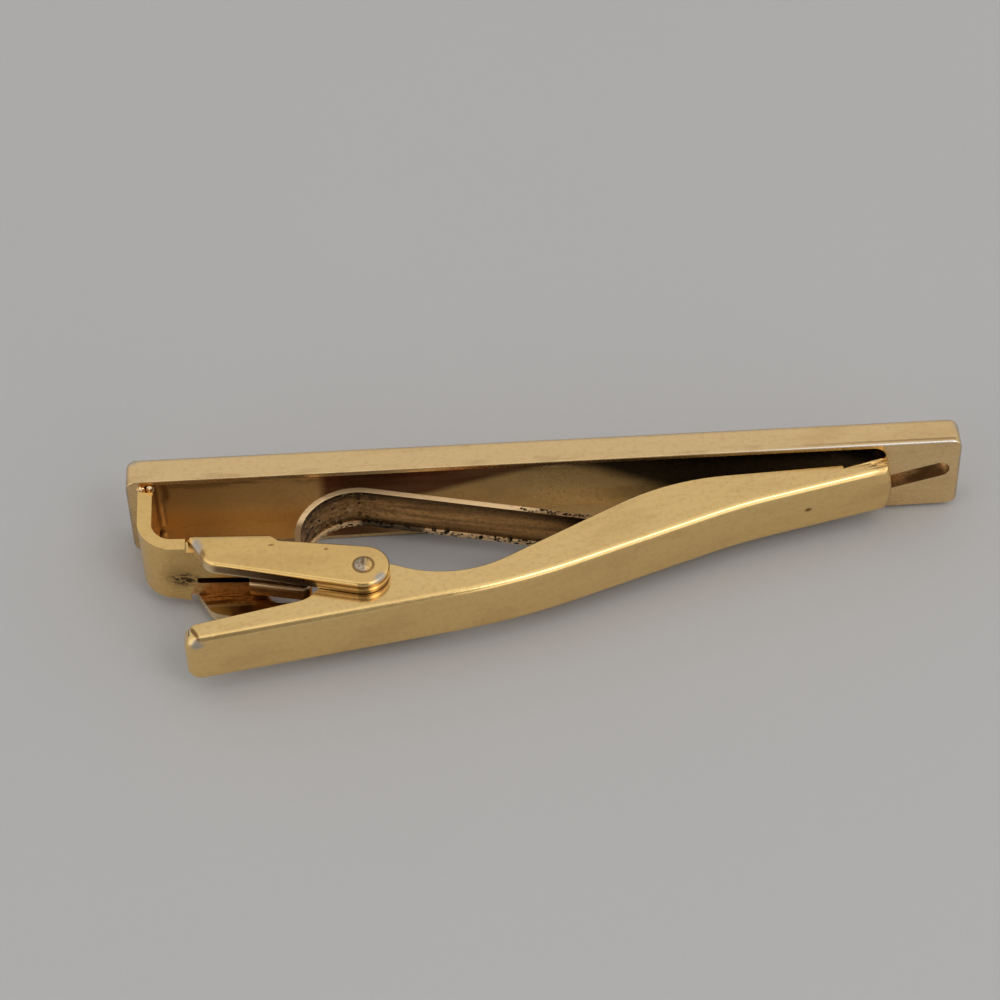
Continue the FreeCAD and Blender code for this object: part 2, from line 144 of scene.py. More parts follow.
TABLE_CLOUD = [0.94 * part for part in TABLE]

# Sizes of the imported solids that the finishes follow; the bar's half height is that at its middle
BAR_HALF_LENGTH = (bar_high.x - bar_low.x) / 2 / MM
BAR_DEPTH = (bar_high.y - bar_low.y) / MM
BAR_TAPER = 0.0055
BAR_HALF_HEIGHT = (bar_high.z - bar_low.z) / 2 / MM - BAR_TAPER * BAR_HALF_LENGTH
TRAY_DEPTH = 1.55
LAND_START_X = 23.2
LAND_SLOT_REACH_Z = 1.6
CHANNEL_HALF_WIDTH = 1.75
JAW_LINE_Y = -0.3
EAR_START_X = -24.15
EAR_INNER_Z = 2.11
EAR_RIM_Z = 2.80
EAR_TOP_Z = 3.03
HEEL_REACH_X = 0.6
HEEL_LOW_Z = 1.9
HEEL_HIGH_Z = 2.6
HEEL_FACET = 0.1
WEB_SLOT_REACH_Z = 1.2
WEB_STAIN_Z = -0.9
LEAF_LIP_Z = 1.37
HUMP_TURN_X = -12.9
TAIL_START_X = -15.7
TAIL_TOP_Y = -5.0
TAIL_RIDGE_Z = -0.66

# Rules that pick faces: how far a face may lie from a size, how far its normal leans along an axis,
# and the least product of its normal and its place where it looks inwards
RIM_SLACK = 0.03
FACE_SLACK = 0.02
CHANNEL_SLACK = 0.01
RIDGE_SLACK = 0.03
SQUARE_ON = 0.9
TURNED = 0.5
WALL_LEAN = 0.6
EDGE_LEAN = 0.4
LIP_LEAN = 0.3
RIDGE_LEAN = 0.15
BEND_LEAN = 0.7
INWARD = 0.2
CHANNEL_INWARD = 0.5

# Marks on the plating, and places of painted shade at the heel and in the jaw's creases: their places, and
# slants in radians about Z; a pit has a length in widths too
BAR_LEFT_CORNER = (-28.2, 2.2, 3.3)
BAR_RIGHT_CORNER = (28.2, 1.6, 2.2)
TRAY_SMEAR = (-25.75, 1.5, 0.6)
EAR_HEEL = (-23.35, -5.75, 3.0)
# Painted shade along the rim of the heel
HEEL_SHADE = (-22.95, -6.35, 3.0)
EAR_NOSE = (-11.3, -9.2, 2.75)
EAR_PITS = (((-18.42, -5.86, EAR_TOP_Z), 2.6), ((-14.81, -6.47, EAR_TOP_Z), 2.0))
NECK_SCORCH = (-24.45, -5.3, -0.55)
SCORCH_HAZE = (-24.7, -5.3, -0.3)
RIVET_SEAM = (-12.4, -8.0, EAR_TOP_Z)
RIVET_NICK = (-12.42, -7.85, 3.22)
LEVER_CORNER = (-23.35, -12.85, 1.55)
LEVER_NOTCH = (-23.5, -12.15, 1.95)
ARM_NICK = (17.55, -2.63, -0.05)
JAW_TIP = (22.9, -1.3, 1.6)
JAW_CREASE_SHADE_Y = (-0.48, -0.71, -0.96)
CREASE_SLOPE = 0.2
CREASE_HALF_WIDTH = 0.01
ARM_SLANT = 0.30
SCRATCH_SLANT = 0.30
NOTCH_SLANT = -1.09

# Stretches of the finishes along an axis: where a mark starts and ends, or where it is none and full.
# The tray's painted red and dark reflections also rise or fall along X, by a slope.
RIM_STAIN_Y = (0.04, 0.45)
RIM_STAIN_Z = (1.9, 2.2)
# Where the painted highlight and the painted dark reflection lie along the bar's rim
RIM_HIGHLIGHT_X = (8.0, 24.0)
RIM_HIGHLIGHT_Y = (-0.02, 0.10)
RIM_DARK_REFLECTION_X = (14.0, 24.0)
RIM_DARK_REFLECTION_Y = (0.27, 0.38)
# Where the tray's floor turns darker towards the hinge end
TRAY_DARKER_X = (-15.0, -27.0)
TRAY_SATIN_X = (2.0, -10.0)
# Brown streaks under the upper wall: partly stains, partly painted shade from the wall
TRAY_STREAKS_Z = (0.5, 1.2)
# Painted reflections in the tray's floor: dark red over the leaf, near-black by the jaw
TRAY_RED_REFLECTION_X = (-14.7, 0.0)
TRAY_RED_REFLECTION_Z = (0.90, 1.70)
TRAY_RED_REFLECTION_SLOPE = -0.28
TRAY_DARK_REFLECTION_Z = (1.5, 3.1)
TRAY_DARK_REFLECTION_SLOPE = 0.48
WALL_BRONZE_X = (-8.0, -18.0)
CREASE_SHADE_X = (21.5, 22.3)
CREASE_SHADE_Z = (1.80, 1.90)
EAR_STAIN_X = (-22.7, -21.9)
EAR_STAIN_Z = (2.28, 2.86)
# Painted highlight stripe, and a painted dark reflection at the foot, on the ear's edge
EAR_HIGHLIGHT_X = (-17.0, -14.0)
EAR_HIGHLIGHT_Z = (2.36, 2.52)
EAR_FOOT_REFLECTION_X = (-15.5, -14.0)
EAR_FOOT_REFLECTION_Z = (2.28, 2.20)
# On the inside of the lower ear: a painted lit corner and a painted pale highlight line
EAR_LIT_CORNER_X = (-20.6, -22.4)
EAR_STREAKS_Y = (-6.55, -6.35)
EAR_HIGHLIGHT_LINE_X = (-19.5, -21.5)
EAR_HIGHLIGHT_LINE_Y = (-6.55, -6.42)
LEAF_BEND_X = (-9.5, -14.0)
LEAF_AHEAD_X = (-9.0, -3.0)
# Painted shade beside the leaf's lips
LEAF_DARK_ABOVE_Z = (0.55, 1.30)
LEAF_DARK_BELOW_Z = (-0.55, -1.25)
LEAF_BLACK_X = (-8.0, -2.0)
UPPER_LIP_Z = (0.4, 1.0)
UPPER_LIP_FOOT_Y = (-2.5, -3.3)
UPPER_LIP_SPECKS_X = (-1.8, 3.2)
LOWER_LIP_Z = (-0.9, -1.2)
LOWER_LIP_DIM_X = (-12.4, -8.6)
LOWER_LIP_SPECKS_X = (-15.0, 6.0)
# Painted light: where the rivet's lit half begins
RIVET_LIT_HALF_X = (-12.45, -12.05)
RIVET_RIM_Z = (3.14, 3.05)

# Leaf: how finely it is cut and rounded
LEAF_SLICE = 0.35
LEAF_EDGE_ROUND = 0.05
LEAF_EDGE_STEPS = 2
TAIL_RIDGE_ROUND = 0.12
TAIL_RIDGE_STEPS = 4
FLAT_ANGLE = math.radians(0.5)
SMOOTH_ANGLE = math.radians(20)
SHARP_ANGLE = math.radians(40)
WELD_METRES = 1e-7
CUT_METRES = 1e-8

# Drops of solder on the bracket's tab: middle and three radii
SOLDER_DROPS = (
    ((-27.14, 0.10, 2.60), (0.28, 0.34, 0.36)),
    ((-26.52, 0.20, 2.60), (0.30, 0.34, 0.36)),
)
DROP_SWELL = 0.28
DROP_RIPPLE = 1.7
DROP_FINENESS = 4

# Folds of sheet on the jaw's corner: start, end, bow to the side and radius
JAW_FOLDS = (
    ((20.5, -0.86, 2.00), (22.86, -0.34, 2.02), 0.03, 0.20),
    ((21.2, -0.92, 2.00), (22.96, -0.62, 1.99), 0.02, 0.16),
    ((21.4, -1.06, 1.99), (22.96, -0.88, 1.96), 0.02, 0.14),
    ((21.6, -1.16, 1.97), (22.86, -1.10, 1.92), 0.02, 0.12),
)
FOLD_SIDES = 14
FOLD_RINGS = 24
FOLD_START_WIDTH = 0.15
FOLD_WIDENING = 1.4
FOLD_BLUNT_FROM = 0.86
FOLD_LEAST_TIP = 0.01

# Patterns: how cloudy noise is, and how a speck's ragged outline, core and choice go with its size and share
EVEN = (1.0, 1.0, 1.0)
NOISE_ROUGHNESS = 0.6
RAGGED_SIZE = 0.5
RAGGED_DETAIL = 4.0
SPECK_RIPPLE = 1.2
SPECK_DETAIL = 2.0
SPECK_PUSH = 1.6
SPECK_CORE = 0.5
SPECK_CHOICE = 0.02

# Sockets of the colour mixing node
MIX_FIRST = 6
MIX_SECOND = 7
MIX_RESULT = 2


def at(x, y, z):
    """A place on the clip, from millimetres about the bar to the part's frame."""
    return Vector((x * MM, BACK_PLANE + y * MM, MID_HEIGHT + z * MM))


def about_bar(point):
    """A point of the part's frame, in millimetres about the bar."""
    return Vector((point.x, point.y - BACK_PLANE, point.z - MID_HEIGHT)) / MM


def set_socket(tree, socket, value):
    """Gives an input a value, or links it to another node's output."""
    if isinstance(value, bpy.types.NodeSocket):
        tree.links.new(value, socket)
    else:
        socket.default_value = value


def node(tree, kind, inputs=None, **settings):
    """Adds a shader node; an input is either a value or another node's output."""
    made = tree.nodes.new(kind)
    for name, value in settings.items():
        setattr(made, name, value)
    for name, value in (inputs or {}).items():
        set_socket(tree, made.inputs[name], value)
    return made


def colour(value):
    """A colour with full alpha; the output of a node is left as it is."""
    return value if isinstance(value, bpy.types.NodeSocket) else (*value, 1.0)


class Finish:
    """Procedural finish. Patterns, and the coordinates x, y and z, are in millimetres about the bar."""

    def __init__(self, name):
        self.material = bpy.data.materials.new(name)
        self.material.use_nodes = True
        self.tree = self.material.node_tree
        self.tree.nodes.clear()
        place = self.add("ShaderNodeTexCoord").outputs["Object"]
        middle = self.add("ShaderNodeVectorMath", {0: place, 1: at(0, 0, 0)}, operation="SUBTRACT")
        scaled = self.add("ShaderNodeVectorMath", {0: middle.outputs[0], "Scale": 1 / MM}, operation="SCALE")
        self.place = scaled.outputs[0]
        apart = self.add("ShaderNodeSeparateXYZ", {"Vector": self.place})
        self.x = apart.outputs["X"]
        self.y = apart.outputs["Y"]
        self.z = apart.outputs["Z"]

    def add(self, kind, inputs=None, **settings):
        """Adds a node to this material."""
        return node(self.tree, kind, inputs, **settings)

    def join(self, operation, values):
        """One number from several, joined in order."""
        joined = values[0]
        for value in values[1:]:
            joined = self.add("ShaderNodeMath", {0: joined, 1: value}, operation=operation).outputs[0]
        return joined

    def sum(self, *values):
        """All values added up."""
        return self.join("ADD", values)

    def product(self, *values):
        """All values multiplied; of masks, what they share."""
        return self.join("MULTIPLY", values)

    def larger(self, *values):
        """The largest value; of masks, what any of them covers."""
        return self.join("MAXIMUM", values)

    def size(self, value):
        """The value without its sign."""
        return self.add("ShaderNodeMath", {0: value}, operation="ABSOLUTE").outputs[0]

    def spread(self, value, low, high):
        """Takes 0 to 1 to low to high."""
        return self.add("ShaderNodeMapRange", {
            "Value": value, "To Min": low, "To Max": high}).outputs["Result"]

    def band(self, value, low, high):
        """Rises smoothly from 0 at low to 1 at high; falls if low is above high."""
        return self.add("ShaderNodeMapRange", {"Value": value, "From Min": low, "From Max": high},
                        interpolation_type="SMOOTHSTEP").outputs["Result"]

    def within(self, value, low, high, soft):
        """1 from low to high, with ends that fade over soft millimetres."""
        return self.product(self.band(value, low - soft, low), self.band(value, high + soft, high))

    def up_to(self, value, edge, start, full):
        """Rises from 0 at start millimetres short of an edge to 1 at full millimetres short of it."""
        return self.band(value, edge - start, edge - full)

    def noise(self, size, detail=3.0, stretch=EVEN, turn=0.0, shift=0.0):
        """Cloudy pattern with blots of about size millimetres, drawn out along axes turned about Z."""
        laid = self.add("ShaderNodeMapping", {
            "Vector": self.place, "Location": (shift, shift, shift), "Rotation": (0.0, 0.0, turn),
            "Scale": [size * along for along in stretch]}, vector_type="TEXTURE")
        cloud = self.add("ShaderNodeTexNoise", {
            "Vector": laid.outputs[0], "Scale": 1.0, "Detail": detail, "Roughness": NOISE_ROUGHNESS})
        return cloud.outputs["Fac"]

    def specks(self, spacing, size, share, shift=0.0):
        """Small ragged spots on a share of cells that are spacing millimetres apart."""
        wobble = self.add("ShaderNodeTexNoise", {
            "Vector": self.place, "Scale": SPECK_RIPPLE / size, "Detail": SPECK_DETAIL})
        pushed = self.add("ShaderNodeVectorMath", {
            0: wobble.outputs["Color"], 1: [SPECK_PUSH * size] * 3, 2: self.place}, operation="MULTIPLY_ADD")
        laid = self.add("ShaderNodeMapping", {
            "Vector": pushed.outputs[0], "Location": (shift, shift, shift), "Scale": [1 / spacing] * 3})
        cells = self.add("ShaderNodeTexVoronoi", {"Vector": laid.outputs[0], "Scale": 1.0})
        spot = self.band(cells.outputs["Distance"], size / spacing, SPECK_CORE * size / spacing)
        draw = self.add("ShaderNodeSeparateColor", {0: cells.outputs["Color"]}).outputs[0]
        return self.product(spot, self.band(draw, share + SPECK_CHOICE, share))

    def near(self, centre, inner, outer, ragged=0.0, stretch=EVEN, turn=0.0):
        """1 within inner millimetres of a place on the clip, 0 beyond outer, drawn out along turned axes."""
        offset = self.add("ShaderNodeVectorMath", {0: self.place, 1: centre}, operation="SUBTRACT").outputs[0]
        laid = self.add("ShaderNodeMapping", {
            "Vector": offset, "Rotation": (0.0, 0.0, turn), "Scale": stretch}, vector_type="TEXTURE")
        gap = self.add("ShaderNodeVectorMath", {0: laid.outputs[0]}, operation="LENGTH").outputs["Value"]
        if ragged:
            gap = self.sum(gap, self.spread(self.noise(RAGGED_SIZE, RAGGED_DETAIL), -ragged, ragged))
        return self.band(gap, outer, inner)

    def over(self, tone, layer, mask, amount=1.0):
        """A tone with another colour laid over it where the mask is, by that amount at most."""
        share = mask if amount == 1.0 else self.product(mask, amount)
        mixed = self.add("ShaderNodeMix", {"Factor": share}, data_type="RGBA")
        set_socket(self.tree, mixed.inputs[MIX_FIRST], colour(tone))
        set_socket(self.tree, mixed.inputs[MIX_SECOND], colour(layer))
        return mixed.outputs[MIX_RESULT]

    def pitted(self, grain, share, pits):
        """Height of a grain that takes a share of the relief, with pits that take all of it."""
        return self.sum(self.product(grain, share), self.product(pits, -1.0))

    def done(self, base, roughness, height, relief, metallic=1.0):
        """Closes the material; relief is the full height of the bump in millimetres."""
        bump = self.add("ShaderNodeBump", {"Height": height, "Strength": 1.0, "Distance": relief * MM})
        shader = self.add("ShaderNodeBsdfPrincipled", {
            "Base Color": base, "Metallic": metallic, "Roughness": roughness, "Normal": bump.outputs[0]})
        self.add("ShaderNodeOutputMaterial", {"Surface": shader.outputs[0]})
        return self.material


def polished_gold(name, base, wear, dull, turn=0.0):
    """Satin-polished plating: cloudy tone, streaks and fine lines one way, scratches and worn places."""
    finish = Finish(name)
    cloud = finish.noise(2.2, detail=4.0, stretch=(2.5, 1.0, 1.0), turn=turn)
    mottle = finish.noise(0.35, detail=5.0, shift=7.0)
    lines = finish.noise(0.09, detail=2.0, stretch=(8.0, 1.0, 1.0), turn=turn, shift=3.0)
    streaks = finish.noise(0.30, stretch=(18.0, 1.0, 1.0), turn=turn, shift=21.0)
    scratch = finish.noise(0.13, detail=1.0, stretch=(14.0, 1.0, 1.0), turn=turn + SCRATCH_SLANT, shift=11.0)
    scratches = finish.product(finish.band(scratch, 0.68, 0.74), finish.band(cloud, 0.42, 0.60))
    dots = finish.specks(spacing=1.1, size=0.06, share=0.08)
    tone = finish.over(base, DEEP_GOLD, finish.band(cloud, 0.48, 0.70), amount=0.24)
    tone = finish.over(tone, DEEP_GOLD, finish.band(streaks, 0.50, 0.72), amount=0.07)
    tone = finish.over(tone, DEEP_GOLD, finish.band(mottle, 0.45, 0.75), amount=0.28)
    tone = finish.over(tone, PALE_GOLD, finish.band(lines, 0.45, 0.75), amount=0.10)
    tone = finish.over(tone, BROWN, dots, amount=0.6)
    tone, pits, dulled = wear(finish, tone)
    sheen = finish.spread(lines, dull - 0.04, dull + 0.04)
    roughness = finish.sum(sheen, finish.product(mottle, 0.08), finish.product(dulled, 0.25))
    height = finish.pitted(lines, 0.5, finish.larger(scratches, dots, pits))
    return finish.done(tone, roughness, height, relief=0.002)


def rubbed_bar(finish, tone):
    """Grey metal along the bar's front edges and ends, stained rims, a painted highlight along the rim with a
    painted dark reflection beside it.
    """
    narrowing = finish.product(finish.x, BAR_TAPER)
    to_side = finish.sum(finish.size(finish.z), narrowing)
    to_end = finish.size(finish.x)
    patchy = finish.band(finish.noise(1.4, detail=4.0, stretch=(4.0, 1.0, 1.0), shift=5.0), 0.42, 0.60)
    edges = finish.larger(finish.up_to(to_side, BAR_HALF_HEIGHT, start=0.50, full=0.15),
                          finish.up_to(to_end, BAR_HALF_LENGTH, start=0.60, full=0.20))
    front = finish.product(edges, finish.up_to(finish.y, BAR_DEPTH, start=0.45, full=0.20),
                           finish.spread(patchy, 0.25, 0.95))
    tips = finish.product(finish.up_to(to_end, BAR_HALF_LENGTH, start=0.22, full=0.06),
                          finish.spread(patchy, 0.45, 0.85))
    left = finish.near(BAR_LEFT_CORNER, 0.25, 1.0, ragged=0.35, stretch=(2.0, 0.8, 1.0))
    right = finish.near(BAR_RIGHT_CORNER, 0.3, 1.3, ragged=0.4)
    rubbed = finish.larger(front, tips, left, right)
    tone = finish.over(tone, WORN_GREY, rubbed, amount=0.9)
    stain = finish.band(finish.noise(0.7, detail=4.0, stretch=(4.0, 1.0, 1.0), shift=13.0), 0.46, 0.66)
    rim = finish.product(finish.within(finish.y, *RIM_STAIN_Y, soft=0.25),
                         finish.band(finish.z, *RIM_STAIN_Z))
    tone = finish.over(tone, BROWN, finish.product(rim, stain), amount=0.20)
    top = finish.up_to(finish.sum(finish.z, narrowing), BAR_HALF_HEIGHT, start=0.12, full=0.06)
    # Painted highlight along the rim's rounded edge, and a painted dark reflection line beside it
    painted_highlight = finish.product(finish.within(finish.y, *RIM_HIGHLIGHT_Y, soft=0.04), top,
                           finish.band(finish.x, *RIM_HIGHLIGHT_X))
    tone = finish.over(tone, HIGHLIGHT_SILVER, painted_highlight, amount=0.95)
    line = finish.product(finish.within(finish.y, *RIM_DARK_REFLECTION_Y, soft=0.05), top,
                          finish.band(finish.x, *RIM_DARK_REFLECTION_X))
    tone = finish.over(tone, BROWN, line, amount=0.55)
    pits = finish.specks(spacing=1.7, size=0.10, share=0.06, shift=2.0)
    return tone, pits, rubbed


def rubbed_bracket(finish, tone):
    """Worn heel and nose of the ear with painted shade beside the heel, pits and the rivet's seam in its top,
    a scorched patch on the neck.
    """
    heel = finish.near(EAR_HEEL, 0.20, 0.65, ragged=0.25, stretch=(0.9, 1.6, 1.0))
    # Painted shade along the rim of the heel
    shade = finish.near(HEEL_SHADE, 0.10, 0.40, ragged=0.15, stretch=(0.7, 1.6, 1.0))
    nose = finish.near(EAR_NOSE, 0.25, 0.75, ragged=0.30)
    worn = finish.larger(heel, nose)
    tone = finish.over(tone, WORN_GREY, worn, amount=0.9)
    tone = finish.over(tone, BROWN, shade, amount=0.7)
    crust = finish.band(finish.noise(0.28, detail=5.0, stretch=(1.6, 1.0, 0.7), shift=15.0), 0.44, 0.56)
    scorch = finish.near(NECK_SCORCH, 0.35, 1.15, ragged=0.35, stretch=(1.2, 1.0, 0.8))
    heart = finish.product(scorch, crust)
    haze = finish.near(SCORCH_HAZE, 0.2, 1.9, ragged=0.6)
    tone = finish.over(tone, BROWN, haze, amount=0.45)
    tone = finish.over(tone, SOOT, heart, amount=0.92)
    pits = finish.larger(*[finish.near(place, 0.04, 0.11, ragged=0.03, stretch=(length, 1.0, 1.0))
                           for place, length in EAR_PITS])
    seam = finish.near(RIVET_SEAM, 0.69, 0.80)
    tone = finish.over(tone, BROWN, finish.larger(pits, seam), amount=0.75)
    return tone, finish.larger(pits, heart), finish.larger(worn, haze)


def marked_arm(finish, tone):
    """Painted shade in the creases at the jaw, a dark nick, a notch and a grey spot at the lever's corner, a
    dull tip.
    """
    from_tip = finish.sum(finish.x, -JAW_TIP[0])
    # Painted shade: thin brown lines in the creases between the jaw's folds
    across = finish.sum(finish.y, finish.product(from_tip, -CREASE_SLOPE))
    creases = finish.larger(*[
        finish.within(across, middle - CREASE_HALF_WIDTH, middle + CREASE_HALF_WIDTH, soft=0.06)
        for middle in JAW_CREASE_SHADE_Y])
    at_jaw = finish.product(finish.band(finish.x, *CREASE_SHADE_X), finish.band(finish.z, *CREASE_SHADE_Z))
    tone = finish.over(tone, BROWN, finish.product(creases, at_jaw), amount=0.85)
    corner = finish.near(LEVER_CORNER, 0.15, 0.60, ragged=0.25)
    tone = finish.over(tone, WORN_GREY, corner, amount=0.85)
    nick = finish.near(ARM_NICK, 0.08, 0.24, ragged=0.06, stretch=(1.5, 1.0, 1.0))
    notch = finish.near(LEVER_NOTCH, 0.09, 0.19, ragged=0.04, stretch=(4.6, 1.0, 3.0), turn=NOTCH_SLANT)
    dents = finish.larger(nick, notch)
    tone = finish.over(tone, BROWN, dents, amount=0.9)
    tip = finish.near(JAW_TIP, 0.4, 1.3, ragged=0.2)
    return tone, dents, finish.larger(corner, tip)


def tray_lining(name):
    """Tray's plating: satin and darker at the hinge, streaked above with stains and painted shade under the
    upper wall, a painted red reflection over the leaf, a painted dark reflection by the jaw.
    """
    finish = Finish(name)
    cloud = finish.noise(2.4, detail=5.0, stretch=(2.2, 1.0, 1.0))
    mottle = finish.noise(0.30, detail=4.0, shift=9.0)
    streak = finish.noise(0.5, detail=4.0, stretch=(9.0, 1.0, 1.0), shift=2.0)
    dots = finish.specks(spacing=2.4, size=0.16, share=0.14)
    # Darker brown towards the hinge end
    tone = finish.over(TRAY_GOLD, TRAY_BROWN, finish.band(finish.x, *TRAY_DARKER_X))
    tone = finish.over(tone, DEEP_GOLD, finish.band(cloud, 0.45, 0.70), amount=0.22)
    tone = finish.over(tone, DEEP_GOLD, finish.band(mottle, 0.45, 0.70), amount=0.22)
    # Brown streaks towards the upper wall: partly stains, partly painted shade under the wall
    upper = finish.product(finish.band(finish.z, *TRAY_STREAKS_Z), finish.band(streak, 0.40, 0.58))
    tone = finish.over(tone, BROWN, upper, amount=0.60)
    # Painted reflections in the mirror-like floor: dark red over the leaf, near-black by the jaw where the
    # arm's inside is mirrored
    over_leaf = finish.sum(finish.z, finish.product(finish.x, TRAY_RED_REFLECTION_SLOPE))
    red = finish.product(finish.band(over_leaf, *TRAY_RED_REFLECTION_Z), finish.within(finish.x, *TRAY_RED_REFLECTION_X, soft=0.9))
    tone = finish.over(tone, REFLECTED_WINE, finish.product(red, finish.spread(streak, 0.70, 1.0)))
    to_jaw = finish.sum(finish.product(finish.x, TRAY_DARK_REFLECTION_SLOPE), finish.z)
    tone = finish.over(tone, SOOT, finish.band(to_jaw, *TRAY_DARK_REFLECTION_Z), amount=0.93)
    smear = finish.near(TRAY_SMEAR, 0.15, 0.55, ragged=0.20, stretch=(0.7, 1.0, 2.6))
    tone = finish.over(tone, BROWN, smear, amount=0.75)
    tone = finish.over(tone, SOOT, dots, amount=0.8)
    satin = finish.band(finish.x, *TRAY_SATIN_X)
    roughness = finish.sum(finish.spread(mottle, 0.20, 0.32), finish.product(satin, 0.20))
    return finish.done(tone, roughness, finish.pitted(streak, 0.4, dots), relief=0.003)


def wall_lining(name):
    """Paler, duller plating of the tray's lower wall, bronze at the hinge, with soft stains along it."""
    finish = Finish(name)
    cloud = finish.noise(1.2, detail=4.0, stretch=(6.0, 1.0, 1.0))
    mottle = finish.noise(0.3, detail=4.0, shift=9.0)
    tone = finish.over(WALL_GOLD, WALL_BRONZE, finish.band(finish.x, *WALL_BRONZE_X))
    tone = finish.over(tone, TRAY_GOLD, finish.band(cloud, 0.45, 0.70), amount=0.25)
    tone = finish.over(tone, TRAY_BROWN, finish.band(mottle, 0.45, 0.70), amount=0.20)
    return finish.done(tone, finish.spread(mottle, 0.22, 0.38), cloud, relief=0.003)


def tarnished_gold(name, base, stain, grime, black_run=None):
    """Dull plating with lengthwise stains, for inside faces; it blackens along X over black_run."""
    finish = Finish(name)
    cloud = finish.noise(1.6, detail=5.0, stretch=(3.0, 1.0, 0.5))
    mottle = finish.noise(0.25, detail=4.0, shift=9.0)
    lines = finish.noise(0.14, detail=2.0, stretch=(12.0, 1.0, 1.0), shift=2.0)
    dots = finish.specks(spacing=0.7, size=0.08, share=0.20)
    tone = finish.over(base, stain, finish.band(cloud, 0.42, 0.66), amount=grime)
    tone = finish.over(tone, stain, finish.band(lines, 0.46, 0.66), amount=0.40)
    tone = finish.over(tone, stain, finish.band(mottle, 0.46, 0.66), amount=0.45)
    tone = finish.over(tone, SOOT, dots, amount=0.85)
    if black_run:
        tone = finish.over(tone, SOOT, finish.band(finish.x, *black_run), amount=0.80)
    roughness = finish.sum(finish.spread(mottle, 0.22, 0.42), finish.product(lines, 0.08))
    return finish.done(tone, roughness, finish.pitted(lines, 0.6, dots), relief=0.01)


def ear_edge(name):
    """Edge of an ear: pale along its rims and heel, stained brown between them, with a painted pale highlight
    and a painted dark reflection at its foot towards the nose.
    """
    finish = Finish(name)
    lines = finish.noise(0.11, stretch=(14.0, 14.0, 1.0))
    mottle = finish.noise(0.3, detail=4.0, stretch=(2.0, 1.0, 1.0), shift=4.0)
    dots = finish.specks(spacing=0.8, size=0.08, share=0.25)
    stained = finish.product(finish.within(finish.z, *EAR_STAIN_Z, soft=0.10),
                             finish.band(finish.x, *EAR_STAIN_X))
    # Painted pale highlight stripe along the edge towards the nose, and a painted dark reflection at the foot
    # of the edge
    painted_highlight = finish.product(finish.within(finish.z, *EAR_HIGHLIGHT_Z, soft=0.06),
                           finish.band(finish.x, *EAR_HIGHLIGHT_X))
    foot = finish.product(finish.band(finish.z, *EAR_FOOT_REFLECTION_Z), finish.band(finish.x, *EAR_FOOT_REFLECTION_X))
    tone = finish.over(PALE_GOLD, DEEP_GOLD, finish.band(mottle, 0.45, 0.70), amount=0.35)
    tone = finish.over(tone, BROWN, finish.product(stained, finish.spread(lines, 0.65, 1.0)))
    tone = finish.over(tone, PALE_GOLD, painted_highlight, amount=0.7)
    tone = finish.over(tone, BROWN, foot, amount=0.8)
    tone = finish.over(tone, SOOT, dots, amount=0.8)
    return finish.done(tone, finish.spread(mottle, 0.20, 0.38), lines, relief=0.006)


def ear_floor(name):
    """Inside of the lower ear: stained in streaks beside the web, a painted pale highlight line, a painted
    lit corner and a painted shaded end.
    """
    finish = Finish(name)
    lines = finish.noise(0.13, stretch=(12.0, 1.0, 1.0), shift=2.0)
    mottle = finish.noise(0.25, detail=4.0, shift=9.0)
    streaked = finish.over(LEAF_BRONZE, BROWN, finish.band(lines, 0.42, 0.62))
    streaked = finish.over(streaked, BROWN, finish.band(mottle, 0.45, 0.65), amount=0.6)
    # Painted light and shade: a lit gold corner at the heel end and a brown shaded end beyond it
    patch = finish.sum(finish.x, finish.spread(mottle, -0.8, 0.8))
    far = finish.over(BROWN, GOLD, finish.band(patch, *EAR_LIT_CORNER_X))
    tone = finish.over(far, streaked, finish.band(finish.y, *EAR_STREAKS_Y))
    # Painted pale highlight line across the lower ear
    seam = finish.product(finish.within(finish.y, *EAR_HIGHLIGHT_LINE_Y, soft=0.06), finish.band(finish.x, *EAR_HIGHLIGHT_LINE_X))
    tone = finish.over(tone, PALE_GOLD, seam, amount=0.9)
    return finish.done(tone, finish.spread(mottle, 0.22, 0.42), lines, relief=0.008)


def pitted_leaf(name):
    """Oxidised face of the leaf: bronze streaks, painted shade beside the lips, pits and pale crystals in the
    bend.
    """
    finish = Finish(name)
    streak = finish.noise(0.40, stretch=(22.0, 22.0, 1.0))
    mottle = finish.noise(0.20, detail=5.0, stretch=(1.6, 1.0, 1.0), shift=4.0)
    crystal = finish.noise(0.32, detail=5.0, shift=6.0)
    bend = finish.band(finish.x, *LEAF_BEND_X)
    ahead = finish.band(finish.x, *LEAF_AHEAD_X)
    # Painted shade beside the lips, for the dished face darkening towards them
    shade_beside_lips = finish.larger(finish.band(finish.z, *LEAF_DARK_ABOVE_Z),
                                finish.band(finish.z, *LEAF_DARK_BELOW_Z))
    streaks = finish.product(finish.band(streak, 0.36, 0.66), finish.spread(ahead, 0.75, 0.45))
    blots = finish.product(finish.band(mottle, 0.46, 0.70), finish.spread(bend, 0.40, 0.85))
    crystals = finish.product(finish.band(crystal, 0.54, 0.64), bend)
    holes = finish.larger(finish.specks(spacing=0.45, size=0.17, share=0.30),
                          finish.specks(spacing=0.9, size=0.34, share=0.35, shift=1.0))
    pits = finish.product(holes, finish.spread(bend, 0.05, 1.0))
    tone = finish.over(LEAF_BRONZE, BROWN, streaks)
    tone = finish.over(tone, BROWN, bend, amount=0.40)
    tone = finish.over(tone, SOOT, shade_beside_lips, amount=0.70)
    tone = finish.over(tone, SOOT, blots)
    tone = finish.over(tone, PALE_GOLD, crystals, amount=0.35)
    tone = finish.over(tone, SOOT, pits)
    height = finish.pitted(mottle, 0.4, pits)
    return finish.done(tone, finish.spread(mottle, 0.24, 0.50), height, relief=0.03)


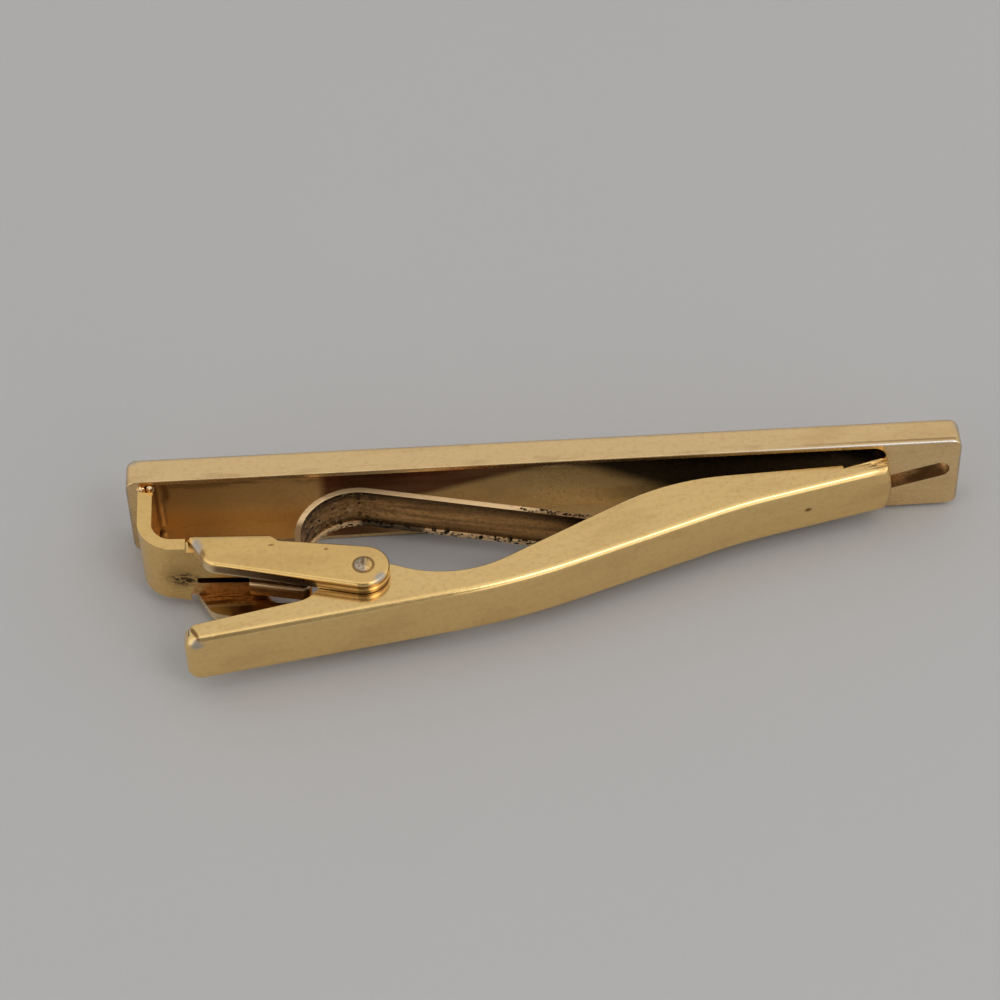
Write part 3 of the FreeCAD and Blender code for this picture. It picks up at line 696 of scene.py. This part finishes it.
def speckled_lip(name):
    """Bright rubbed lips and edges of the leaf, dim at its foot, with runs of black specks."""
    finish = Finish(name)
    mottle = finish.noise(0.3, detail=4.0, stretch=(3.0, 1.0, 1.0))
    upper = finish.band(finish.z, *UPPER_LIP_Z)
    lower = finish.band(finish.z, *LOWER_LIP_Z)
    foot = finish.product(upper, finish.band(finish.y, *UPPER_LIP_FOOT_Y))
    dim = finish.product(lower, finish.within(finish.x, *LOWER_LIP_DIM_X, soft=0.5))
    upper_run = finish.product(upper, finish.within(finish.x, *UPPER_LIP_SPECKS_X, soft=1.0))
    lower_run = finish.product(lower, finish.within(finish.x, *LOWER_LIP_SPECKS_X, soft=0.5))
    spots = finish.larger(finish.specks(spacing=0.40, size=0.21, share=0.60),
                          finish.specks(spacing=0.24, size=0.13, share=0.55, shift=3.0))
    black = finish.product(spots, finish.larger(upper_run, lower_run))
    tone = finish.over(LIP_GOLD, DEEP_GOLD, finish.band(mottle, 0.45, 0.70), amount=0.18)
    tone = finish.over(tone, BROWN, foot, amount=0.85)
    tone = finish.over(tone, SOOT, dim, amount=0.85)
    tone = finish.over(tone, SOOT, black)
    height = finish.pitted(mottle, 0.3, black)
    return finish.done(tone, finish.spread(mottle, 0.46, 0.64), height, relief=0.03)


def pin_metal(name):
    """Rivet head with a painted lit half, a dark nick across it and a dark rim."""
    finish = Finish(name)
    mottle = finish.noise(0.15, detail=4.0)
    nick = finish.near(RIVET_NICK, 0.06, 0.28, ragged=0.10, stretch=(0.6, 1.7, 1.0))
    rim = finish.band(finish.z, *RIVET_RIM_Z)
    # Painted light: the lit half of the rivet's head in gold over the steel
    tone = finish.over(STEEL, GOLD, finish.band(finish.x, *RIVET_LIT_HALF_X))
    tone = finish.over(tone, BROWN, finish.band(mottle, 0.42, 0.62), amount=0.65)
    tone = finish.over(tone, BROWN, finish.larger(nick, rim), amount=0.85)
    height = finish.pitted(mottle, 0.5, nick)
    return finish.done(tone, finish.spread(mottle, 0.30, 0.50), height, relief=0.03)


def rough_braze(name):
    """Soft brown solder with brighter runs and dark hollows."""
    finish = Finish(name)
    lumps = finish.noise(0.45, detail=4.0, stretch=(1.0, 1.0, 2.5))
    hollow = finish.noise(0.8, stretch=(1.0, 1.0, 3.0), shift=8.0)
    tone = finish.over(BROWN, TRAY_BROWN, finish.spread(finish.band(lumps, 0.40, 0.60), 0.35, 0.75))
    tone = finish.over(tone, BROWN, finish.band(hollow, 0.52, 0.68), amount=0.55)
    return finish.done(tone, finish.spread(lumps, 0.35, 0.55), lumps, relief=0.03)


def bright_solder(name):
    """Rounded bright drops of solder with a darker skin in the hollows."""
    finish = Finish(name)
    skin = finish.noise(0.16)
    dots = finish.specks(spacing=0.3, size=0.1, share=0.3)
    tone = finish.over(PALE_GOLD, DEEP_GOLD, finish.band(skin, 0.45, 0.65))
    tone = finish.over(tone, SOOT, dots, amount=0.7)
    return finish.done(tone, finish.spread(skin, 0.16, 0.34), skin, relief=0.02)


def table_top(name):
    """Pale matt table with a faint cloud and a fine grain."""
    finish = Finish(name)
    cloud = finish.noise(40.0)
    grain = finish.noise(0.25, detail=2.0, shift=5.0)
    tone = finish.over(TABLE, TABLE_CLOUD, finish.sum(cloud, grain), amount=0.5)
    return finish.done(tone, 0.65, grain, relief=0.01, metallic=0.0)


def paint(piece, materials, choose):
    """Gives each face one of the named materials; choose gets the face's middle and its normal."""
    names = list(materials)
    piece.data.materials.clear()
    for material in materials.values():
        piece.data.materials.append(material)
    for face in piece.data.polygons:
        face.material_index = names.index(choose(about_bar(face.center), face.normal))


def all_over(middle, normal):
    """One finish for every face."""
    return "all"


def side_of_bar(middle, normal):
    """Picks the tray's floor and walls, its lower wall, the slot in the land, and the outside."""
    buried = RIM_SLACK < middle.y < TRAY_DEPTH + FACE_SLACK
    faces_back = normal.y < -SQUARE_ON
    faces_in = normal.z * middle.z < -INWARD or normal.x * middle.x < -INWARD
    if buried and middle.x > LAND_START_X:
        return "slot" if abs(middle.z) < LAND_SLOT_REACH_Z else "outside"
    if not buried or not (faces_back or faces_in):
        return "outside"
    return "lower_wall" if normal.z > WALL_LEAN else "tray"


def side_of_arm(middle, normal):
    """Picks the inside of the channel, and the outside."""
    within = abs(middle.z) < CHANNEL_HALF_WIDTH + CHANNEL_SLACK
    faces_bar = normal.y > TURNED and middle.y < JAW_LINE_Y
    faces_middle = normal.z * middle.z < -CHANNEL_INWARD
    faces_along = abs(normal.x) > SQUARE_ON and normal.x * middle.x < 0
    return "inside" if within and (faces_bar or faces_middle or faces_along) else "outside"


def side_of_bracket(middle, normal):
    """Picks the stained faces inside, the slot's walls and the gap at the heel painted black as shade, the
    ears' edges, the lower ear, the outside.
    """
    beside_heel = abs(middle.x - EAR_START_X) < HEEL_REACH_X and HEEL_LOW_Z < middle.z < HEEL_HIGH_Z
    if beside_heel and normal.x > TURNED:
        return "gap"
    if beside_heel and normal.z > TURNED and middle.z < EAR_INNER_Z + HEEL_FACET:
        return "outside"
    if middle.x < EAR_START_X or abs(middle.z) > EAR_RIM_Z:
        return "outside"
    if abs(middle.z) > EAR_INNER_Z + FACE_SLACK:
        return "ear_edge" if normal.y < -EDGE_LEAN else "outside"
    if abs(normal.z) > TURNED and abs(middle.z) < WEB_SLOT_REACH_Z:
        return "gap"
    if normal.z * middle.z < -INWARD:
        return "lower_ear" if middle.z < 0 else "stained"
    return "stained" if normal.y < -TURNED and middle.z < WEB_STAIN_Z else "outside"


def on_tail(place):
    """Whether a place is on the leaf's tail, which bears on the bracket's web."""
    return place.x < TAIL_START_X and place.y < TAIL_TOP_Y


def on_ridge(place):
    """Whether a place is on the step between the dish and the lower lip of the leaf's tail."""
    return on_tail(place) and abs(place.z - TAIL_RIDGE_Z) < RIDGE_SLACK


def side_of_leaf(middle, normal):
    """Picks the dished face, the lower lip and edges, the back towards the bar, the tail's lip, and the
    tail's dish painted black as shade.
    """
    if on_tail(middle):
        if middle.z > TAIL_RIDGE_Z + FACE_SLACK:
            return "tail_dish"
        return "lip" if normal.z > RIDGE_LEAN else "tail_lip"
    if abs(normal.z) > LIP_LEAN:
        return "lip"
    if middle.x > HUMP_TURN_X:
        toward_arm = normal.y < 0
    else:
        toward_arm = normal.x > 0 or normal.y < -BEND_LEAN
    if not toward_arm:
        return "back"
    return "lip" if middle.z < -LEAF_LIP_Z else "face"


def is_sharp(edge):
    """Whether the two faces of an edge meet at a clear angle."""
    return edge.is_manifold and edge.calc_face_angle() > SHARP_ANGLE


def round_edges(shape, edges, radius, steps):
    """Rounds edges of a shape by a radius in millimetres."""
    bmesh.ops.bevel(shape, geom=edges, offset=radius * MM, segments=steps, profile=0.5, affect="EDGES",
                    clamp_overlap=True)


def cut_slices(shape, axis, low, high):
    """Cuts a shape into even slices along an axis."""
    steps = int((high - low) / (LEAF_SLICE * MM))
    for step in range(1, steps):
        place = Vector((0.0, 0.0, 0.0))
        normal = Vector((0.0, 0.0, 0.0))
        place[axis] = low + (high - low) * step / steps
        normal[axis] = 1.0
        bmesh.ops.bisect_plane(shape, geom=shape.verts[:] + shape.edges[:] + shape.faces[:],
                               plane_co=place, plane_no=normal, dist=CUT_METRES)


def make_leaf():
    """The leaf as a finely sliced copy of its solid, with rounded edges, in place of the imported leaf."""
    mesh = nodes["leaf_spring"].data.copy()
    leaf = bpy.data.objects.new("leaf_spring_bending", mesh)
    bpy.context.scene.collection.objects.link(leaf)
    shape = bmesh.new()
    shape.from_mesh(mesh)
    bmesh.ops.remove_doubles(shape, verts=shape.verts, dist=WELD_METRES)
    bmesh.ops.dissolve_limit(shape, angle_limit=FLAT_ANGLE, verts=shape.verts, edges=shape.edges)
    ridge = [edge for edge in shape.edges if is_sharp(edge) and edge.is_convex
             and all(on_ridge(about_bar(end.co)) for end in edge.verts)]
    round_edges(shape, ridge, TAIL_RIDGE_ROUND, TAIL_RIDGE_STEPS)
    round_edges(shape, [edge for edge in shape.edges if is_sharp(edge)], LEAF_EDGE_ROUND, LEAF_EDGE_STEPS)
    low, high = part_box("leaf_spring")
    for axis in (0, 1):
        cut_slices(shape, axis, low[axis], high[axis])
    shape.to_mesh(mesh)
    shape.free()
    mesh.shade_smooth()
    mesh.set_sharp_from_angle(angle=SMOOTH_ANGLE)
    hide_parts("leaf_spring")
    return leaf


def add_piece(name, shape, material, body):
    """Turns a built shape into a smooth piece that rides on a body."""
    mesh = bpy.data.meshes.new(name)
    shape.to_mesh(mesh)
    shape.free()
    mesh.shade_smooth()
    mesh.materials.append(material)
    piece = bpy.data.objects.new(name, mesh)
    bpy.context.scene.collection.objects.link(piece)
    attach(piece, body)


def solder_drops(name, drops):
    """Irregular rounded drops, each a middle and three radii in millimetres, joined into one piece."""
    shape = bmesh.new()
    for centre, radii in drops:
        ball = bmesh.ops.create_icosphere(shape, subdivisions=DROP_FINENESS, radius=1.0)
        for vert in ball["verts"]:
            swell = 1.0 + DROP_SWELL * noise.noise(vert.co * DROP_RIPPLE + Vector(centre))
            vert.co = at(*[middle + part * swell * radius
                           for middle, part, radius in zip(centre, vert.co, radii)])
    add_piece(name, shape, bright_solder(name), "bar")


def fold_width(share, radius):
    """A fold's radius at a share of its length: thin at the start and blunt at the end."""
    past = max(0.0, (share - FOLD_BLUNT_FROM) / (1 - FOLD_BLUNT_FROM))
    blunting = math.sqrt(max(1 - past * past, FOLD_LEAST_TIP))
    return radius * min(1.0, FOLD_START_WIDTH + FOLD_WIDENING * share) * blunting


def add_fold(shape, start, end, bow, radius):
    """Adds one rounded fold, bowed to the side, to a shape."""
    upward = Vector((0.0, 0.0, 1.0))
    ahead = Vector(end) - Vector(start)
    side = ahead.cross(upward).normalized()
    before = None
    for index in range(FOLD_RINGS + 1):
        share = index / FOLD_RINGS
        middle = Vector(start) + ahead * share + side * bow * 4 * share * (1 - share)
        width = fold_width(share, radius)
        ring = []
        for step in range(FOLD_SIDES):
            angle = 2 * math.pi * step / FOLD_SIDES
            offset = side * math.cos(angle) * width + upward * math.sin(angle) * width
            ring.append(shape.verts.new(at(*(middle + offset))))
        if before:
            for step in range(FOLD_SIDES):
                after = (step + 1) % FOLD_SIDES
                shape.faces.new((before[step], before[after], ring[after], ring[step]))
        else:
            shape.faces.new(ring[::-1])
        before = ring
    shape.faces.new(before)


def folds(name, runs, material):
    """Rounded folds, each from a start to an end in millimetres, joined into one piece."""
    shape = bmesh.new()
    for run in runs:
        add_fold(shape, *run)
    bmesh.ops.recalc_face_normals(shape, faces=shape.faces)
    add_piece(name, shape, material, "arm")


def make_floor():
    """Pale table under the clip, large enough to fill the view and the reflections."""
    mesh = bpy.data.meshes.new("table")
    low = cad_box[0].z
    corners = ((-1, -1), (1, -1), (1, 1), (-1, 1))
    mesh.from_pydata([(x * TABLE_HALF, y * TABLE_HALF, low) for x, y in corners], [], [(0, 1, 2, 3)])
    mesh.materials.append(table_top("table_top"))
    table = bpy.data.objects.new("table", mesh)
    bpy.context.scene.collection.objects.link(table)


def make_world():
    """Soft room: brighter before the table than behind it, and dim where someone stands at the table."""
    world = bpy.data.worlds.new("room")
    bpy.context.scene.world = world
    world.use_nodes = True
    tree = world.node_tree
    tree.nodes.clear()
    way = node(tree, "ShaderNodeTexCoord").outputs["Generated"]
    parts = node(tree, "ShaderNodeSeparateXYZ", {"Vector": way})
    room = node(tree, "ShaderNodeMapRange", {
        "Value": parts.outputs["Y"], "From Min": -1.0, "From Max": 1.0,
        "To Min": ROOM_BEFORE, "To Max": ROOM_BEHIND})
    figure = 1.0
    for axis, clear, full in FIGURE_EDGES:
        edge = node(tree, "ShaderNodeMapRange", {
            "Value": parts.outputs[axis], "From Min": clear, "From Max": full},
            interpolation_type="SMOOTHSTEP")
        figure = node(tree, "ShaderNodeMath", {0: figure, 1: edge.outputs["Result"]},
                      operation="MULTIPLY").outputs[0]
    shade = node(tree, "ShaderNodeMapRange", {"Value": figure, "To Min": 1.0, "To Max": FIGURE_LEVEL})
    level = node(tree, "ShaderNodeMath", {0: room.outputs["Result"], 1: shade.outputs["Result"]},
                 operation="MULTIPLY").outputs[0]
    background = node(tree, "ShaderNodeBackground", {"Color": colour(ROOM_TINT), "Strength": level})
    node(tree, "ShaderNodeOutputWorld", {"Surface": background.outputs[0]})


def make_lamp(name, place, width, depth, watts):
    """Rectangular soft lamp that looks straight down, its width along the bar."""
    lamp = bpy.data.lights.new(name, "AREA")
    lamp.shape = "RECTANGLE"
    lamp.size = width
    lamp.size_y = depth
    lamp.energy = watts
    holder = bpy.data.objects.new(name, lamp)
    holder.location = place
    bpy.context.scene.collection.objects.link(holder)


def make_camera():
    """Camera at the photograph's view, rolled with it."""
    azimuth = math.radians(VIEW_AZIMUTH)
    elevation = math.radians(VIEW_ELEVATION)
    roll = math.radians(VIEW_ROLL)
    back = Vector((math.sin(azimuth) * math.cos(elevation), -math.cos(azimuth) * math.cos(elevation),
                   math.sin(elevation)))
    level = Vector((math.cos(azimuth), math.sin(azimuth), 0.0))
    upward = back.cross(level)
    right = math.cos(roll) * level + math.sin(roll) * upward
    up = math.cos(roll) * upward - math.sin(roll) * level
    lens = bpy.data.cameras.new("view")
    lens.sensor_width = SENSOR_WIDTH
    lens.lens = FOCAL_PIXELS / PICTURE_PIXELS * SENSOR_WIDTH
    lens.clip_start = NEAREST_SEEN * MM
    lens.clip_end = FARTHEST_SEEN * MM
    camera = bpy.data.objects.new("view", lens)
    turn = Matrix((right, up, back)).transposed()
    camera.matrix_world = Matrix.Translation(at(*VIEW_TARGET) + back * VIEW_DISTANCE * MM) @ turn.to_4x4()
    bpy.context.scene.collection.objects.link(camera)
    bpy.context.scene.camera = camera


# Finishes that more than one piece has
arm_gold = polished_gold("arm_gold", ARM_GOLD, marked_arm, dull=0.14, turn=ARM_SLANT)
web_stain = tarnished_gold("web_stain", LEAF_BRONZE, BROWN, grime=0.6)
# Painted shade: near-black plating for the web's slot, the gap at the heel and the leaf's tail dish, which
# lie in shade
shade_black = tarnished_gold("shade_black", BROWN, SOOT, grime=1.0)
braze = rough_braze("rough_braze")

paint(nodes["front_bar"], {
    "outside": polished_gold("bar_gold", BAR_GOLD, rubbed_bar, dull=0.24),
    "tray": tray_lining("tray_gold"),
    "lower_wall": wall_lining("wall_gold"),
    "slot": tarnished_gold("land_slot", SLOT_BRONZE, SLOT_STAIN, grime=0.8),
}, side_of_bar)
paint(nodes["hinge_bracket"], {
    "outside": polished_gold("bracket_gold", GOLD, rubbed_bracket, dull=0.20),
    "stained": web_stain,
    "gap": shade_black,
    "ear_edge": ear_edge("ear_edge"),
    "lower_ear": ear_floor("ear_floor"),
}, side_of_bracket)
paint(nodes["clip_arm"], {
    "outside": arm_gold,
    "inside": tarnished_gold("inner_gold", BROWN, SOOT, grime=0.6),
}, side_of_arm)
paint(nodes["pivot_pin"], {"all": pin_metal("pin_steel")}, all_over)
paint(nodes["bracket_solder"], {"all": braze}, all_over)
paint(nodes["leaf_braze"], {"all": braze}, all_over)

leaf = make_leaf()
paint(leaf, {
    "face": pitted_leaf("leaf_face"),
    "lip": speckled_lip("leaf_lip"),
    "back": tarnished_gold("leaf_back", LEAF_BRONZE, BROWN, grime=0.8, black_run=LEAF_BLACK_X),
    "tail_lip": web_stain,
    "tail_dish": shade_black,
}, side_of_leaf)
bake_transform(leaf)
solder_drops("solder_drops", SOLDER_DROPS)
folds("jaw_folds", JAW_FOLDS, arm_gold)

make_floor()
make_world()
make_lamp("window", WINDOW_PLACE, WINDOW_WIDTH, WINDOW_DEPTH, WINDOW_WATTS)
make_camera()
bpy.context.scene.view_settings.view_transform = "Standard"
